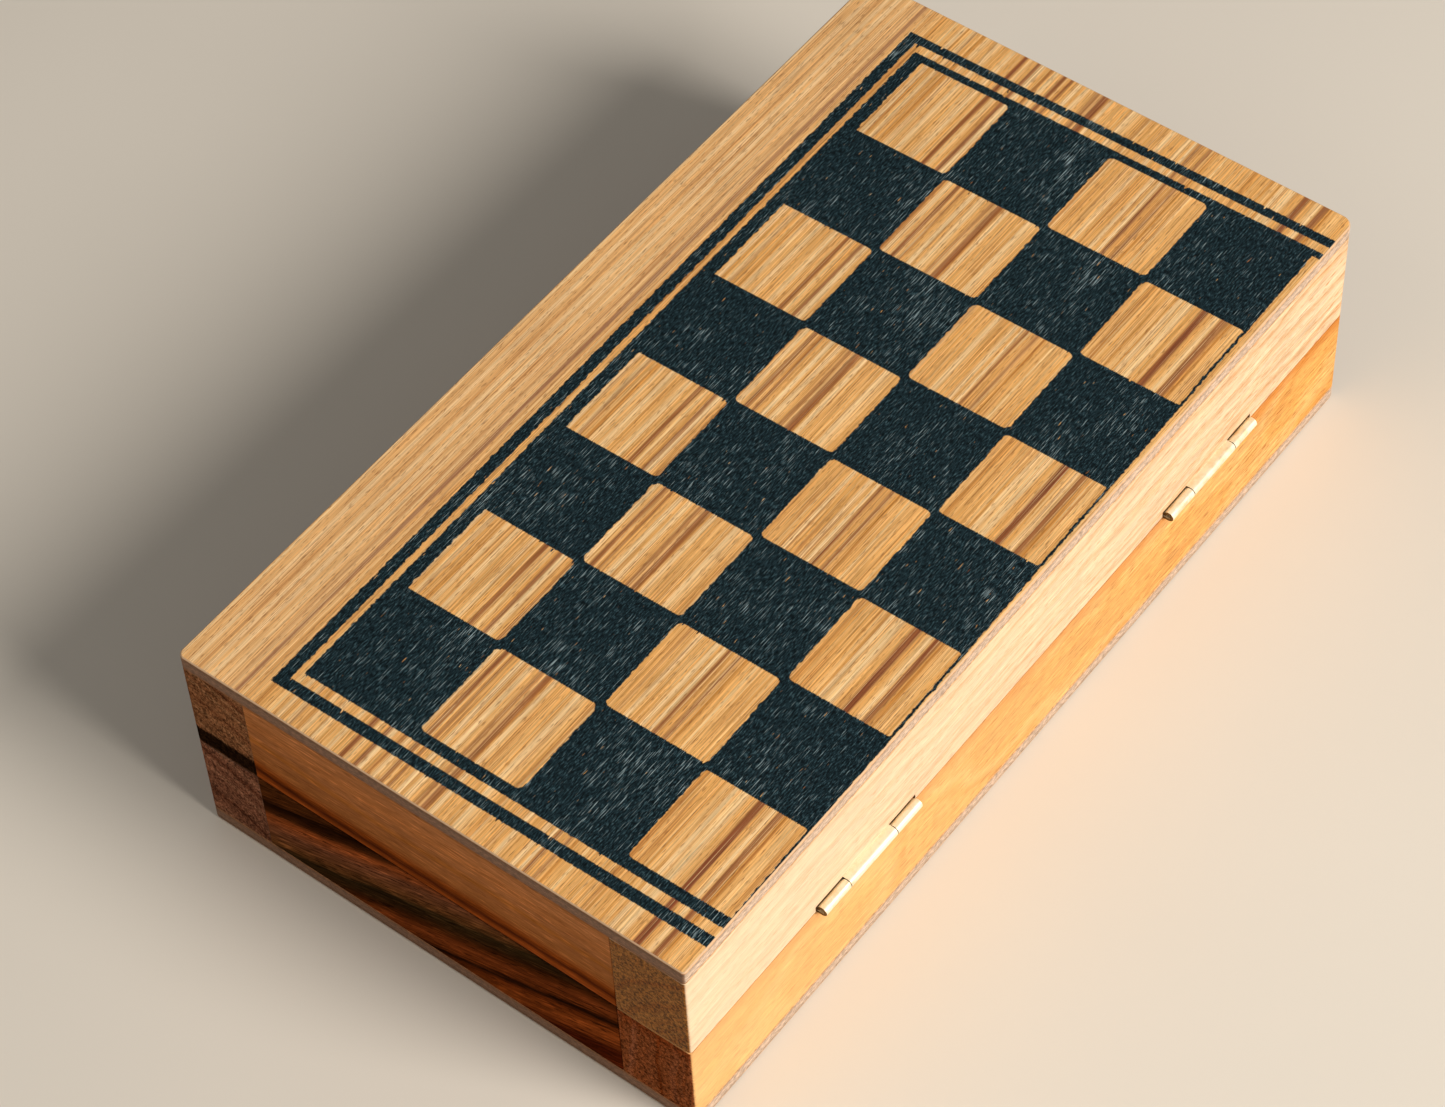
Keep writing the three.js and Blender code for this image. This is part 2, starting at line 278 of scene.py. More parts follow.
def sandedWood(name, wood):
    # a sanded board: growth rings or streaks, long fibres, pores, flecks, and darker end grain
    material, tree, shader = newMaterial(name, wood["roughness"])
    shader.inputs["Specular IOR Level"].default_value = wood["sheen"]
    place = addNode(tree, "TexCoord", out="Object")
    alongGrain = addNode(tree, "Mapping", {
        "Vector": place,
        "Location": wood["pith"],
        "Rotation": [math.radians(turn) for turn in wood["turn"]],
        "Scale": perMillimetre})                  # the grain runs along its x
    noise = {}
    for pattern, (along, across, shift, detail, coarse) in woodPatterns.items():
        noise[pattern] = addNode(tree, "TexNoise", {
            "Vector": addNode(tree, "VectorMath", {
                0: alongGrain, 1: (along, across, across), 2: shift}, operation="MULTIPLY_ADD"),
            "Scale": 1.0, "Detail": detail, "Roughness": coarse})

    # rings or streaks, bent slowly, with edges that the fibres feather
    wandered = addNode(tree, "VectorMath", {
        0: noise["wander"].node.outputs["Color"], 1: (0, wood["wander"], wood["wander"]),
        2: alongGrain}, operation="MULTIPLY_ADD")
    if "streaks" in wood:      # streaks at known places across the board, in mm
        low, high = wood["streaks"][0][0], wood["streaks"][-1][0]
        feathered = addNode(tree, "Math", {
            0: noise["fibres"], 1: wood["feather"],
            2: addNode(tree, "SeparateXYZ", {0: wandered}, "Z")}, operation="MULTIPLY_ADD")
        rings = addNode(tree, "MapRange", {"Value": feathered, "From Min": low, "From Max": high})
        stops = [((height - low) / (high - low), colour) for height, colour in wood["streaks"]]
    else:
        fromPith = addNode(tree, "VectorMath", {
            0: addNode(tree, "VectorMath", {0: wandered, 1: (0, 1, 1)}, operation="MULTIPLY")},
            "Value", operation="LENGTH")
        feathered = addNode(tree, "Math", {
            0: noise["fibres"], 1: wood["feather"], 2: fromPith}, operation="MULTIPLY_ADD")
        rings = addNode(tree, "TexNoise", {
            "W": feathered, "Scale": 1 / wood["ringSpacing"], "Detail": 4.0, "Roughness": 0.65},
            noise_dimensions="1D")
        stops = wood["ringColours"]
    ringColour = addNode(tree, "ValToRGB", {"Fac": rings})
    fillRamp(ringColour.node.color_ramp, stops)

    # fibres and patches shade the rings, then come pores and flecks
    fibreShade = addNode(tree, "MapRange", {
        "Value": noise["fibres"], **noiseRange,
        "To Min": 1 - wood["fibre"], "To Max": 1 + wood["fibre"] * 0.7})     # they darken more
    patchShade = addNode(tree, "MapRange", {
        "Value": noise["patches"], **noiseRange,
        "To Min": 1 - wood["patch"], "To Max": 1 + wood["patch"]})
    poreMask = addNode(tree, "MapRange", {
        "Value": noise["pores"], **noiseTop, "To Max": wood["pores"]})
    fleckShade = addNode(tree, "MapRange", {
        "Value": noise["flecks"], "From Min": 0.54, "From Max": 0.66,
        "To Min": 1.0, "To Max": 1 + wood["flecks"]})
    shade = addNode(tree, "Math", {0: fibreShade, 1: patchShade}, operation="MULTIPLY")
    shaded = addNode(tree, "VectorMath", {0: ringColour, "Scale": shade}, operation="SCALE")
    pored = addNode(tree, "Mix", {
        0: poreMask, 6: shaded, 7: hexColour(wood["poreColour"])}, 2, data_type="RGBA")
    flecked = addNode(tree, "VectorMath", {0: pored, "Scale": fleckShade}, operation="SCALE")
    if "bandAndPaintedShade" in wood:      # a band at one height, for a real streak and for painted shade: (height, half width, softness, hex, strength)
        height, half, soft, bandColour, strength = wood["bandAndPaintedShade"]
        push = addNode(tree, "Math", {
            0: noise["fibres"], 1: 2 * bandEdgeWave, 2: -bandEdgeWave}, operation="MULTIPLY_ADD")
        wavy = addNode(tree, "Math", {
            0: push, 1: addNode(tree, "SeparateXYZ", {0: place}, "Z")}, operation="ADD")
        above = addNode(tree, "Math", {0: wavy, 1: height * mm}, operation="SUBTRACT")
        near = addNode(tree, "MapRange", {
            "Value": addNode(tree, "Math", {0: above}, operation="ABSOLUTE"),
            "From Min": half * mm, "From Max": half * (1 - soft) * mm, "To Max": strength})
        flecked = addNode(tree, "Mix", {
            0: near, 6: flecked, 7: hexColour(bandColour)}, 2, data_type="RGBA")

    # end grain soaks up more oil and shows as dots; its darker tint is partly painted shade on the
    # shaded end faces
    facing = addNode(tree, "VectorMath", {
        0: addNode(tree, "TexCoord", out="Normal"), 1: wood["grainAxis"]},
        "Value", operation="DOT_PRODUCT")
    endGrain = addNode(tree, "MapRange", {
        "Value": addNode(tree, "Math", {0: facing}, operation="ABSOLUTE"),
        "From Min": endGrainWork["facingFrom"], "From Max": endGrainWork["facingTo"]})
    dotShade = addNode(tree, "MapRange", {
        "Value": noise["dots"], "From Min": 0.42, "From Max": 0.58,
        "To Min": endGrainWork["darkDot"], "To Max": endGrainWork["paleDot"]})
    dotted = addNode(tree, "VectorMath", {0: flecked, "Scale": dotShade}, operation="SCALE")
    endGrainAndShadeColour = addNode(tree, "Mix", {
        0: 1.0, 6: dotted, 7: hexColour(wood["endGrainAndShadeTint"])},
        2, data_type="RGBA", blend_type="MULTIPLY")
    colour = addNode(tree, "Mix", {0: endGrain, 6: flecked, 7: endGrainAndShadeColour}, 2, data_type="RGBA")
    if "paintedLight" in wood:       # painted light: paler towards the left end
        paintedLightColour, strength = wood["paintedLight"]
        paintedLightMask = addNode(tree, "MapRange", {
            "Value": addNode(tree, "SeparateXYZ", {0: place}, "X"),
            "From Min": paintedLightStart, "From Max": cadBox[0][0], "To Max": strength})
        paintedLighter = addNode(tree, "Mix", {
            0: paintedLightMask, 6: colour, 7: hexColour(paintedLightColour)}, 2, data_type="RGBA")
        colour = addNode(tree, "Mix", {0: endGrain, 6: paintedLighter, 7: colour}, 2, data_type="RGBA")
    tree.links.new(colour, shader.inputs["Base Color"])
    grainHeight = addNode(tree, "Math", {
        0: poreMask, 1: -1.0, 2: noise["fibres"]}, operation="MULTIPLY_ADD")
    bump = addNode(tree, "Bump", {"Height": grainHeight, "Strength": 0.5, "Distance": 0.14 * mm})
    tree.links.new(bump, shader.inputs["Normal"])
    return material


veneerPatterns = {  # features to a millimetre along and across the sheet, detail, roughness
    "drift": (0.02, 0.25, 2, 0.5),         # the stripes wander
    "fibres": (0.07, 3.0, 3, 0.7),         # 0.3 mm across and 14 mm long
    "patches": (0.04, 0.12, 2, 0.5),       # paler or darker, 8 mm across
    "pores": (0.5, 4.5, 1, 0.5),           # 0.2 mm across and 2 mm long
    "threads": (0.035, 6.0, 2, 0.5),       # darker and paler ones, 0.17 mm across and 3 cm long
    "teeth": (0.25, 4.5, 2, 0.6),          # ink creeps along the grain in these
    "blots": (0.3, 1.3, 1, 0.5),           # and here and there runs further
    "waves": (0.8, 0.8, 3, 0.55),          # across the grain it only waves a little
    "specks": (0.4, 2.6, 2, 0.5),          # bare, where the screen missed the deepest pores
    "inkGrain": (1.0, 4.2, 4, 0.75),       # the fibres show through the ink
    "fibreGlints": (0.3, 6.5, 1, 0.5),       # painted highlight: pale glints on fibres that stand up through it
}
veneerMarks = {"thread": "B07243", "glint": "F4D3A0", "pore": "94623A"}
bandsPerRamp = 7          # a colour ramp has room for seven stripes


def printedVeneer(name, sheet):
    # striped veneer, sanded and screen printed with one half of the board in blue-black ink
    material, tree, shader = newMaterial(name, 0.55)
    shader.inputs["Specular IOR Level"].default_value = 0.1
    place = addNode(tree, "TexCoord", out="Object")
    flat = addNode(tree, "VectorMath", {0: place, 1: perMillimetre}, operation="MULTIPLY")
    x = addNode(tree, "SeparateXYZ", {0: flat}, "X")
    y = x.node.outputs["Y"]
    noise = {}
    for pattern, (along, across, detail, coarse) in veneerPatterns.items():
        noise[pattern] = addNode(tree, "TexNoise", {
            "Vector": addNode(tree, "VectorMath", {
                0: flat, 1: (along, across, 0)}, operation="MULTIPLY"),
            "Scale": 1.0, "Detail": detail, "Roughness": coarse})

    # stripes of the veneer, all along x
    reach, wander, edge = sheet["stripeReach"], sheet["stripeWander"], sheet["stripeEdge"]
    shift = addNode(tree, "Math", {
        0: noise["drift"], 1: 2 * wander, 2: sheet["stripeShift"] - wander},
        operation="MULTIPLY_ADD")
    driftedY = addNode(tree, "Math", {0: shift, 1: y}, operation="ADD")
    acrossSheet = addNode(tree, "MapRange", {
        "Value": driftedY, "From Min": -reach, "From Max": reach})
    streaks = {}
    for kind in ("dark", "pale"):
        bands = sorted(sheet[kind])
        total = None
        for group in range(0, len(bands), bandsPerRamp):
            ramp = addNode(tree, "ValToRGB", {"Fac": acrossSheet})
            stops = [(0.0, 0.0)]
            for middle, half, strength in bands[group:group + bandsPerRamp]:
                stops += [((middle + offset + reach) / (2 * reach), value) for offset, value in (
                    (-half, 0.0), (edge - half, strength), (half - edge, strength), (half, 0.0))]
            fillRamp(ramp.node.color_ramp, stops)
            total = ramp if total is None else addNode(
                tree, "Math", {0: total, 1: ramp}, operation="ADD")
        streaks[kind] = total
    rings = addNode(tree, "TexNoise", {
        "W": driftedY, "Scale": 0.5, "Detail": 5.0, "Roughness": 0.75}, noise_dimensions="1D")
    ringColour = addNode(tree, "ValToRGB", {"Fac": rings})
    fillRamp(ringColour.node.color_ramp, sheet["wood"])
    uneven = addNode(tree, "MapRange", {
        "Value": noise["drift"], **noiseRange, "To Min": 0.75, "To Max": 1.15})
    darkened = addNode(tree, "Mix", {
        0: addNode(tree, "Math", {0: streaks["dark"], 1: uneven}, operation="MULTIPLY"),
        6: ringColour, 7: hexColour(sheet["darkStripe"])}, 2, data_type="RGBA")
    paled = addNode(tree, "Mix", {
        0: streaks["pale"], 6: darkened, 7: hexColour(sheet["paleStripe"])}, 2, data_type="RGBA")

    # fibres, patches, a paler margin, then threads, glints and pores
    fibreShade = addNode(tree, "MapRange", {
        "Value": noise["fibres"], **noiseRange, "To Min": 0.6, "To Max": 1.3})
    patchShade = addNode(tree, "MapRange", {
        "Value": noise["patches"], **noiseRange, "To Min": 0.95, "To Max": 1.05})
    shade = addNode(tree, "Math", {0: fibreShade, 1: patchShade}, operation="MULTIPLY")
    veneer = addNode(tree, "VectorMath", {0: paled, "Scale": shade}, operation="SCALE")
    marginStart, marginFull, marginStrength = sheet["marginPlace"]
    margin = addNode(tree, "MapRange", {
        "Value": y, "From Min": marginStart, "From Max": marginFull, "To Max": marginStrength})
    veneer = addNode(tree, "Mix", {
        0: margin, 6: veneer, 7: hexColour(sheet["margin"])}, 2, data_type="RGBA")
    poreMask = addNode(tree, "MapRange", {"Value": noise["pores"], **noiseTop, "To Max": 0.6})
    masks = {
        "thread": addNode(tree, "MapRange", {
            "Value": noise["threads"], "From Min": 0.55, "From Max": 0.66, "To Max": 0.75}),
        "glint": addNode(tree, "MapRange", {
            "Value": noise["threads"], "From Min": 0.43, "From Max": 0.33, "To Max": 0.7}),
        "pore": poreMask,
    }
    for mark, colour in veneerMarks.items():
        veneer = addNode(tree, "Mix", {
            0: masks[mark], 6: veneer, 7: hexColour(colour)}, 2, data_type="RGBA")

    # board coordinates: u runs along the squares' eight files, v down the four rows to the hinges
    angle = math.radians(sheet["printTurn"])
    boardPlace = []
    for start, alongX, alongY in (
            (sheet["printAt"][0], math.cos(angle), math.sin(angle)),
            (sheet["printAt"][1], math.sin(angle), -math.cos(angle))):
        boardPlace.append(addNode(tree, "Math", {
            0: addNode(tree, "Math", {0: x, 1: alongX, 2: start}, operation="MULTIPLY_ADD"),
            1: addNode(tree, "Math", {0: y, 1: alongY}, operation="MULTIPLY")}, operation="ADD"))
    u, v = boardPlace

    # the print's edges: teeth and blots along the grain, slight waves across it
    blotReach = addNode(tree, "MapRange", {
        "Value": noise["blots"], "From Min": 0.68, "From Max": 0.76,
        "To Min": -0.28, "To Max": 0.5})
    creep = addNode(tree, "Math", {
        0: noise["teeth"], 1: 0.6, 2: blotReach}, operation="MULTIPLY_ADD")
    raggedU = addNode(tree, "Math", {0: creep, 1: u}, operation="ADD")
    wave = addNode(tree, "Math", {
        0: noise["waves"], 1: 2 * sheet["inkWave"], 2: -sheet["inkWave"]}, operation="MULTIPLY_ADD")
    raggedV = addNode(tree, "Math", {0: wave, 1: v}, operation="ADD")
    soft = sheet["inkSoftness"]

    def between(value, low, high):
        # 1 inside a strip of the print and 0 outside it
        rise = addNode(tree, "MapRange", {
            "Value": value, "From Min": low - soft, "From Max": low + soft})
        fall = addNode(tree, "MapRange", {
            "Value": value, "From Min": high + soft, "From Max": high - soft})
        return addNode(tree, "Math", {0: rise, 1: fall}, operation="MULTIPLY")

    # each point's square, and where it lies from the middle of that square
    square = sheet["square"]
    numbers, offsets = [], []
    for straight, ragged in ((u, raggedU), (v, raggedV)):
        number = addNode(tree, "Math", {
            0: addNode(tree, "Math", {0: straight, 1: square}, operation="DIVIDE")},
            operation="FLOOR")
        fromStart = addNode(tree, "Math", {
            0: number, 1: -square, 2: ragged}, operation="MULTIPLY_ADD")
        numbers.append(number)
        offsets.append(addNode(tree, "Math", {0: fromStart, 1: square / 2}, operation="SUBTRACT"))
    odd = addNode(tree, "Math", {
        0: addNode(tree, "Math", {0: numbers[0], 1: numbers[1]}, operation="ADD"), 1: 2.0},
        operation="FLOORED_MODULO")
    isLight = odd if sheet["darkCorner"] else addNode(
        tree, "Math", {0: 1.0, 1: odd}, operation="SUBTRACT")

    # light squares with round corners, bare wood in the ink
    corner = sheet["cornerRadius"]
    straightPart = (sheet["lightHalf"][0] - corner, sheet["lightHalf"][1] - corner, 0)
    offMiddle = addNode(tree, "VectorMath", {
        0: addNode(tree, "CombineXYZ", {"X": offsets[0], "Y": offsets[1]})}, operation="ABSOLUTE")
    pastCorner = addNode(tree, "VectorMath", {
        0: addNode(tree, "VectorMath", {0: offMiddle, 1: straightPart}, operation="SUBTRACT"),
        1: (0, 0, 0)}, operation="MAXIMUM")
    fromCorner = addNode(tree, "VectorMath", {0: pastCorner}, "Value", operation="LENGTH")
    inLight = addNode(tree, "MapRange", {
        "Value": fromCorner, "From Min": corner + soft, "From Max": corner - soft})
    files, rows = 8 * square, 4 * square
    offSheet = rows + 40      # past the panel's edge
    trim = sheet["squareTrim"]
    lightHere = addNode(tree, "Math", {0: inLight, 1: isLight}, operation="MULTIPLY")
    for strip in (between(raggedU, trim["left"], files - trim["right"]),
                  between(raggedV, sheet["innerRow"][1], rows - trim["hinges"])):
        lightHere = addNode(tree, "Math", {0: lightHere, 1: strip}, operation="MULTIPLY")

    # the ink: a field round the squares, less the light ones, and an outer line
    inner = addNode(tree, "Math", {
        0: between(raggedU, sheet["innerLeft"], sheet["innerRight"]),
        1: between(raggedV, sheet["innerRow"][0], offSheet)}, operation="MULTIPLY")
    lastRow = addNode(tree, "Math", {      # past the last row only the border lines go on
        0: between(raggedU, sheet["lastRow"]["left"], files - sheet["lastRow"]["right"]),
        1: between(raggedV, rows - sheet["lastRow"]["overlap"], offSheet)}, operation="MULTIPLY")
    board = addNode(tree, "Math", {0: inner, 1: lightHere}, operation="SUBTRACT")
    board = addNode(tree, "Math", {0: board, 1: lastRow}, operation="SUBTRACT", use_clamp=True)
    outer = addNode(tree, "Math", {
        0: between(raggedU, sheet["outerLeft"][0], sheet["outerRight"][1]),
        1: between(raggedV, sheet["outerRow"][0], offSheet)}, operation="MULTIPLY")
    gap = addNode(tree, "Math", {
        0: between(raggedU, sheet["outerLeft"][1], sheet["outerRight"][0]),
        1: between(raggedV, sheet["outerRow"][1], offSheet)}, operation="MULTIPLY")
    line = addNode(tree, "Math", {0: outer, 1: gap}, operation="SUBTRACT", use_clamp=True)
    ink = addNode(tree, "Math", {0: board, 1: line}, operation="MAXIMUM")
    bare = addNode(tree, "MapRange", {
        "Value": noise["specks"], "From Min": 0.71, "From Max": 0.76, "To Max": 0.8})
    ink = addNode(tree, "Math", {
        0: ink, 1: addNode(tree, "Math", {0: 1.0, 1: bare}, operation="SUBTRACT")},
        operation="MULTIPLY")
    up = addNode(tree, "VectorMath", {
        0: addNode(tree, "TexCoord", out="Normal"), 1: (0, 0, sheet["outward"])},
        "Value", operation="DOT_PRODUCT")
    onFace = addNode(tree, "MapRange", {
        "Value": up, "From Min": 0.90, "From Max": 0.97})      # 0 from the sanded arris on
    ink = addNode(tree, "Math", {0: ink, 1: onFace}, operation="MULTIPLY")

    inkColour = addNode(tree, "ValToRGB", {"Fac": noise["inkGrain"]})
    fillRamp(inkColour.node.color_ramp, sheet["ink"])
    # painted highlight: pale blue-grey glints on the ink along its fibres
    glintNoise = addNode(tree, "Math", {
        0: noise["patches"], 1: 0.35, 2: noise["fibreGlints"]}, operation="MULTIPLY_ADD")
    paintedGlintMask = addNode(tree, "MapRange", {
        "Value": glintNoise, "From Min": 0.83, "From Max": 0.92, "To Max": 0.8})
    inkColour = addNode(tree, "Mix", {
        0: paintedGlintMask, 6: inkColour, 7: hexColour(sheet["fibreGlint"])}, 2, data_type="RGBA")
    colour = addNode(tree, "Mix", {0: ink, 6: veneer, 7: inkColour}, 2, data_type="RGBA")
    colour = addNode(tree, "Mix", {
        0: onFace, 6: hexColour(sheet["arris"]), 7: colour}, 2, data_type="RGBA")
    tree.links.new(colour, shader.inputs["Base Color"])
    tree.links.new(addNode(tree, "MapRange", {"Value": ink, "To Min": 0.5, "To Max": 0.7}),
                   shader.inputs["Roughness"])
    # fibres stand up, pores are sunk, and the ink lies on top
    sunk = addNode(tree, "Math", {0: poreMask, 1: 1.2}, operation="MULTIPLY")
    grainHeight = addNode(tree, "Math", {0: noise["fibres"], 1: sunk}, operation="SUBTRACT")
    inkHeight = addNode(tree, "Math", {0: noise["inkGrain"], 1: 0.8}, operation="MULTIPLY")
    grainHeight = addNode(tree, "Math", {0: inkHeight, 1: grainHeight}, operation="ADD")
    bump = addNode(tree, "Bump", {"Height": grainHeight, "Strength": 0.4, "Distance": 0.1 * mm})
    tree.links.new(bump, shader.inputs["Normal"])
    return material


def plyEdge(name, edge):
    # the panel's cut edge: two thin veneers on a fibrous core, left as the saw and sander did it
    material, tree, shader = newMaterial(name, 0.8)
    place = addNode(tree, "TexCoord", out="Object")
    up = addNode(tree, "SeparateXYZ", {0: place}, "Z")
    depth = addNode(tree, "MapRange", {
        "Value": up, "From Min": edge["outer"], "From Max": edge["inner"]})
    fuzz = addNode(tree, "TexNoise", {
        "Vector": addNode(tree, "VectorMath", {0: place, 1: edge["fuzz"]}, operation="MULTIPLY"),
        "Scale": 1.0, "Detail": 3.0, "Roughness": 0.7})
    wave = edge["wave"]
    push = addNode(tree, "Math", {0: fuzz, 1: 2 * wave, 2: -wave}, operation="MULTIPLY_ADD")
    layers = addNode(tree, "ValToRGB", {
        "Fac": addNode(tree, "Math", {0: push, 1: depth}, operation="ADD")})
    fillRamp(layers.node.color_ramp, edge["layers"])
    shade = addNode(tree, "MapRange", {
        "Value": fuzz, "From Min": 0.36, "From Max": 0.64, "To Min": 0.6, "To Max": 1.36})
    # the short ends show the sheets' end grain, and their darker tint is partly painted shade
    facing = addNode(tree, "Math", {0: addNode(tree, "SeparateXYZ", {
        0: addNode(tree, "TexCoord", out="Normal")}, "X")}, operation="ABSOLUTE")
    ends = addNode(tree, "MapRange", {"Value": facing, "From Min": 0.4, "From Max": 0.8})
    darkerEndsAndShade = addNode(tree, "Mix", {
        0: 1.0, 6: layers, 7: hexColour(edge["endGrainAndShadeTint"])},
        2, data_type="RGBA", blend_type="MULTIPLY")
    tinted = addNode(tree, "Mix", {0: ends, 6: layers, 7: darkerEndsAndShade}, 2, data_type="RGBA")
    colour = addNode(tree, "VectorMath", {0: tinted, "Scale": shade}, operation="SCALE")
    tree.links.new(colour, shader.inputs["Base Color"])
    bump = addNode(tree, "Bump", {"Height": fuzz, "Strength": 0.6, "Distance": 0.12 * mm})
    tree.links.new(bump, shader.inputs["Normal"])
    return material


filmScale = 420.0         # patches to a metre, so each is 2 or 3 mm across


def sheetMetal(name, metal):
    # drawn or rolled metal: faint lines the way it was drawn, a dull film, its own cut ends, which on
    # the hinge are partly painted shade
    material, tree, shader = newMaterial(name, metal["roughness"], metal["metallic"])
    place = addNode(tree, "TexCoord", out="Object")
    lines = addNode(tree, "TexNoise", {
        "Vector": addNode(tree, "VectorMath", {
            0: place, 1: metal["lineScale"]}, operation="MULTIPLY"),
        "Scale": 1.0, "Detail": 2.0})
    film = addNode(tree, "TexNoise", {
        "Vector": place, "Scale": filmScale, "Detail": 3.0, "Roughness": 0.6})
    filmMask = addNode(tree, "MapRange", {
        "Value": film, "From Min": 0.45, "From Max": 0.7, "To Max": 0.5})
    if "brightTo" in metal:      # only the barrel is rubbed bright, its plates keep their film
        start, soft = metal["brightTo"], 0.3 * mm
        plateFilm = addNode(tree, "MapRange", {
            "Value": addNode(tree, "SeparateXYZ", {0: place}, "Y"),
            "From Min": start - soft, "From Max": start + soft, "To Max": 0.9})
        filmMask = addNode(tree, "Math", {0: filmMask, 1: plateFilm}, operation="MAXIMUM")
    colour = addNode(tree, "Mix", {
        0: filmMask, 6: hexColour(metal["bright"]), 7: hexColour(metal["dull"])},
        2, data_type="RGBA")
    # the cut ends take their own colour; on the hinge leaves this dark colour is partly painted shade
    # between the knuckles and at the barrel's ends
    facing = addNode(tree, "Math", {0: addNode(tree, "SeparateXYZ", {
        0: addNode(tree, "TexCoord", out="Normal")}, metal["cutAxis"])}, operation="ABSOLUTE")
    cutEndAndShade = addNode(tree, "MapRange", {"Value": facing, "From Min": 0.5, "From Max": 0.9})
    colour = addNode(tree, "Mix", {
        0: cutEndAndShade, 6: colour, 7: hexColour(metal["cut"])}, 2, data_type="RGBA")
    tree.links.new(colour, shader.inputs["Base Color"])
    rough = addNode(tree, "MapRange", {
        "Value": lines, **noiseRange,
        "To Min": metal["roughness"] * 0.8, "To Max": metal["roughness"] * 1.25})
    tree.links.new(rough, shader.inputs["Roughness"])
    bump = addNode(tree, "Bump", {"Height": lines, "Strength": 0.12, "Distance": 0.03 * mm})
    tree.links.new(bump, shader.inputs["Normal"])
    return material


cornerRadii = {      # mm, by the signs of x and y; the sander took less off the left end
    (-1, -1): 0.6, (-1, 1): 1.3, (1, -1): 2.2, (1, 1): 2.2}
panelWork = {"arris": 0.35, "innerBreak": 0.1}     # mm

lidSheet = {
    "square": 20.0,
    "printAt": (80.05, 30.89),       # board coordinates of the middle of the face, mm
    "printTurn": 0.6,                # degrees
    "lightHalf": (9.6, 9.8),
    "cornerRadius": 1.0,
    "darkCorner": True,
    "squareTrim": {"left": 0.1, "right": 0.3, "hinges": 0.6},      # ink laps over them by this
    "innerLeft": -1.75, "innerRight": 161.2, "innerRow": (-1.1, 1.4),
    "outerLeft": (-5.75, -3.6), "outerRight": (162.9, 164.8), "outerRow": (-4.5, -2.25),
    "lastRow": {"left": 2.0, "right": 0.2, "overlap": 0.1},
    "inkWave": 0.45, "inkSoftness": 0.08,
    "outward": 1,
    "marginPlace": (32.0, 38.0, 0.28),      # from, full from, strength
    "stripeReach": 52.0, "stripeShift": 0.0, "stripeWander": 0.45, "stripeEdge": 0.15,
    # stripes of the veneer: where across the sheet, half width, strength
    "dark": [
        (39.1, 0.39, 0.37), (37.6, 0.47, 0.95), (26.9, 0.39, 0.53), (16.4, 0.47, 0.89),
        (13.75, 0.47, 0.89), (11.0, 0.39, 0.68), (8.25, 0.47, 0.89), (6.9, 0.39, 0.89),
        (1.5, 0.55, 0.63), (0.0, 0.78, 0.84), (-9.0, 0.39, 0.42), (-12.25, 0.31, 0.32),
        (-19.5, 0.45, 1.0), (-21.5, 0.45, 0.85), (-30.75, 0.39, 0.21), (-40.5, 0.7, 1.0),
        (-44.25, 0.55, 0.89)],
    "pale": [
        (47.0, 0.5, 0.72), (44.1, 0.5, 0.72), (42.4, 0.4, 0.72), (40.6, 0.4, 0.72),
        (29.1, 0.5, 0.72), (24.25, 0.5, 0.58), (22.0, 0.5, 0.72), (18.75, 0.4, 0.87),
        (12.75, 0.4, 0.87), (10.0, 0.4, 0.72), (5.1, 0.5, 0.87), (3.4, 0.5, 0.72),
        (-1.5, 0.4, 0.87), (-6.0, 0.6, 0.72), (-14.0, 0.6, 0.72), (-17.25, 0.4, 0.72),
        (-18.6, 0.3, 0.87), (-36.1, 0.5, 0.72), (-37.9, 0.4, 0.72), (-43.0, 0.4, 0.87)],
    "wood": [(0.3, "C8873F"), (0.43, "E9AE64"), (0.55, "F6C07A"), (0.7, "FFDCA4")],
    "darkStripe": "8A4E33",
    "paleStripe": "FFE0AE",
    "margin": "F0C89C",
    "arris": "D2B292",
    "ink": [(0.34, "010508"), (0.47, "0C1B22"), (0.56, "1E343E"), (0.67, "4E6C78")],
    # painted highlight on the ink's fibres
    "fibreGlint": "A6BEC8",
}
baseSheet = dict(        # the other half of the board, printed on another piece of the veneer
    lidSheet,
    printAt=(80.3, 30.6), printTurn=-0.4, darkCorner=False, outward=-1, stripeShift=17.0)

panelEdge = {
    "layers": [      # from the outer face to the inner one: veneer, core, veneer
        (0.0, "D0A070"), (0.1, "D0A070"), (0.15, "A8917E"), (0.5, "C6AE9A"), (0.83, "B49C88"),
        (0.88, "C89C70"), (1.0, "C89C70")],
    "fuzz": (1100, 1100, 4200),      # fibres of the core to a metre along x, y and z
    "wave": 0.05,                    # how far the layers wave, as a part of the thickness
    # the short ends' darker tint: end grain, and partly painted shade
    "endGrainAndShadeTint": "B69A85",
}
innerPly = {        # the plain inner veneer of a panel
    "roughness": 0.65, "sheen": 0.2,
    "pith": (0, 31, 400), "turn": (0, 0, 0), "grainAxis": (1, 0, 0),
    "wander": 3.0, "ringSpacing": 3.0, "feather": 0.8, "fibre": 0.16, "patch": 0.06,
    "pores": 0.4, "flecks": 0.12,
    "ringColours": [(0.3, "C79F6C"), (0.5, "D6B17C"), (0.7, "DFBE8C")],
    "poreColour": "8F6A40", "endGrainAndShadeTint": "B0A090",
}


def isCorner(edge, corner, low, high):
    # whether an upright edge is the outline's corner on these sides
    at = edgeMiddle(edge)
    wanted = [(high if sign > 0 else low)[axis] for axis, sign in enumerate(corner)]
    return abs(at.x - wanted[0]) < 1e-6 and abs(at.y - wanted[1]) < 1e-6


